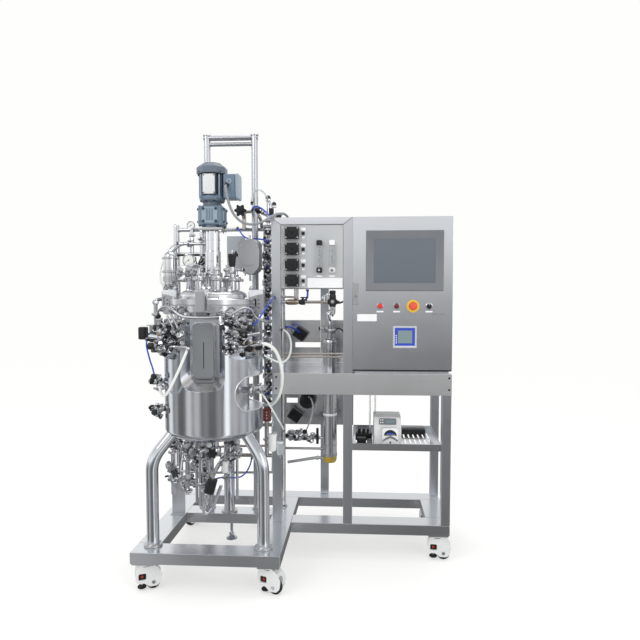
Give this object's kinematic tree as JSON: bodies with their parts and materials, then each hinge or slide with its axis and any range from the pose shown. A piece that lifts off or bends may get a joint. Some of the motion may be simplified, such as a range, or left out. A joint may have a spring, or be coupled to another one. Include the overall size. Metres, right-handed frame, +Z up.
{
  "type": "skid-mounted stirred bioreactor",
  "caption": "Clad stainless stirred fermentation vessel with geared motor, hoist frame, pipe rack and a control console on one castered skid.",
  "frame": {"origin": "on the floor, under the centre of the whole assembly's footprint", "axes": "+Z up, -Y is the operator's side with the sight glass, the door and the display, +X towards the console"},
  "size_m": [1.5268, 0.9158, 2.183],
  "materials": {
    "brushed_steel": "brushed stainless sheet and tube",
    "polished_steel": "polished stainless",
    "black_plastic": "moulded black plastic and rubber",
    "caster_cream": "cream powder coat",
    "motor_enamel": "slate blue enamel on cast aluminium",
    "silicone": "translucent white silicone",
    "grey_plastic": "moulded grey plastic",
    "red_plastic": "moulded red plastic",
    "white_plastic": "moulded white plastic"
  },
  "bodies": {
    "skid": {"base_frame": "brushed_steel", "front_portal": "brushed_steel", "rear_portal": "brushed_steel", "right_end_frame": "brushed_steel", "worktop": "brushed_steel", "shelf_tray": "brushed_steel", "cabinet_shell": "brushed_steel", "instrument_panel": "brushed_steel", "lid_clamp_front": "brushed_steel", "lid_clamp_right": "brushed_steel", "lid_clamp_back": "brushed_steel", "lid_clamp_left": "brushed_steel", "leg_front_left": "brushed_steel", "leg_front_right": "brushed_steel", "leg_back": "brushed_steel", "hoist_frame": "brushed_steel", "pipe_rack": "brushed_steel", "exhaust_condenser": "brushed_steel", "rear_panel": "polished_steel", "heater_tube": "polished_steel", "vessel_body": "polished_steel", "vessel_cladding": "polished_steel", "vessel_lid": "polished_steel", "motor_stand": "polished_steel", "air_filter": "polished_steel", "pressure_gauge": "polished_steel", "drain_valve": "polished_steel", "valve_tree_left": "polished_steel", "valve_tree_right": "polished_steel", "filter_regulator": "black_plastic", "sight_glass": "grey_plastic", "motor_cable": "grey_plastic", "bench_pump": "white_plastic", "gearbox": "motor_enamel", "motor": "motor_enamel", "terminal_box": "motor_enamel", "lid_gasket": "silicone", "hose_left": "silicone", "hose_right": "silicone"},
    "caster_front_left": {"caster_front_left": "caster_cream"},
    "wheel_front_left": {"wheel_front_left": "black_plastic"},
    "caster_front_middle": {"caster_front_middle": "caster_cream"},
    "wheel_front_middle": {"wheel_front_middle": "black_plastic"},
    "caster_front_right": {"caster_front_right": "caster_cream"},
    "wheel_front_right": {"wheel_front_right": "black_plastic"},
    "caster_rear_right": {"caster_rear_right": "caster_cream"},
    "wheel_rear_right": {"wheel_rear_right": "black_plastic"},
    "caster_rear_left": {"caster_rear_left": "caster_cream"},
    "wheel_rear_left": {"wheel_rear_left": "black_plastic"},
    "levelling_foot": {"levelling_foot": "polished_steel"},
    "door": {"cabinet_door": "brushed_steel", "display": "grey_plastic", "mini_controller": "white_plastic"},
    "door_lock": {"door_lock": "polished_steel"},
    "e_stop_button": {"e_stop_button": "red_plastic"},
    "key_switch": {"key_switch": "black_plastic"},
    "stirrer": {"stirrer": "polished_steel"},
    "pump_rotor": {"pump_rotor": "grey_plastic"},
    "top_valve_knob": {"top_valve_knob": "black_plastic"},
    "drain_knob": {"drain_knob": "black_plastic"}
  },
  "joints": [
    {"name": "front_left_swivel", "type": "hinge", "parent": "skid", "child": "caster_front_left", "pos_m": [-0.673, -0.377, 0.1], "axis": [0, 0, 1], "continuous": true},
    {"name": "front_left_roll", "type": "hinge", "parent": "caster_front_left", "child": "wheel_front_left", "pos_m": [-0.64581, -0.36432, 0.0315], "axis": [0.4226, -0.9063, 0], "continuous": true},
    {"name": "front_middle_swivel", "type": "hinge", "parent": "skid", "child": "caster_front_middle", "pos_m": [-0.105, -0.377, 0.1], "axis": [0, 0, 1], "continuous": true},
    {"name": "front_middle_roll", "type": "hinge", "parent": "caster_front_middle", "child": "wheel_front_middle", "pos_m": [-0.07681, -0.38726, 0.0315], "axis": [-0.342, -0.9397, 0], "continuous": true},
    {"name": "front_right_swivel", "type": "hinge", "parent": "skid", "child": "caster_front_right", "pos_m": [0.695, 0.021, 0.1], "axis": [0, 0, 1], "continuous": true},
    {"name": "front_right_roll", "type": "hinge", "parent": "caster_front_right", "child": "wheel_front_right", "pos_m": [0.72489, 0.01838, 0.0315], "axis": [-0.0872, -0.9962, 0], "continuous": true},
    {"name": "rear_right_swivel", "type": "hinge", "parent": "skid", "child": "caster_rear_right", "pos_m": [0.695, 0.403, 0.1], "axis": [0, 0, 1], "continuous": true},
    {"name": "rear_right_roll", "type": "hinge", "parent": "caster_rear_right", "child": "wheel_rear_right", "pos_m": [0.72098, 0.388, 0.0315], "axis": [-0.5, -0.866, 0], "continuous": true},
    {"name": "rear_left_swivel", "type": "hinge", "parent": "skid", "child": "caster_rear_left", "pos_m": [-0.673, 0.403, 0.1], "axis": [0, 0, 1], "continuous": true},
    {"name": "rear_left_roll", "type": "hinge", "parent": "caster_rear_left", "child": "wheel_rear_left", "pos_m": [-0.688, 0.37702, 0.0315], "axis": [-0.866, 0.5, 0], "continuous": true},
    {"name": "levelling_foot_screw", "type": "slide", "parent": "skid", "child": "levelling_foot", "axis": [0, 0, 1], "range_m": [-0.03, 0]},
    {"name": "door_hinge", "type": "hinge", "parent": "skid", "child": "door", "pos_m": [0.7497, -0.014, 1.348], "axis": [0, 0, 1], "range_deg": [0, 120]},
    {"name": "lock_turn", "type": "hinge", "parent": "door", "child": "door_lock", "pos_m": [0.2766, -0.024, 1.337], "axis": [0, 1, 0], "range_deg": [0, 90]},
    {"name": "e_stop_press", "type": "slide", "parent": "door", "child": "e_stop_button", "axis": [0, 1, 0], "range_m": [0, 0.006]},
    {"name": "key_switch_turn", "type": "hinge", "parent": "door", "child": "key_switch", "pos_m": [0.635, -0.034, 1.288], "axis": [0, 1, 0], "range_deg": [0, 90]},
    {"name": "stirrer_spin", "type": "hinge", "parent": "skid", "child": "stirrer", "pos_m": [-0.3935, -0.197, 1.2], "axis": [0, 0, 1], "continuous": true},
    {"name": "pump_rotor_spin", "type": "hinge", "parent": "skid", "child": "pump_rotor", "pos_m": [0.453, 0.028, 0.629], "axis": [0, 1, 0], "continuous": true},
    {"name": "top_valve_turn", "type": "hinge", "parent": "skid", "child": "top_valve_knob", "pos_m": [-0.323, 0.101, 1.78], "axis": [0, 1, 0], "range_deg": [0, 540]},
    {"name": "drain_valve_turn", "type": "hinge", "parent": "skid", "child": "drain_knob", "pos_m": [-0.3935, -0.256, 0.598], "axis": [0, 1, 0], "range_deg": [0, 540]}
  ]
}
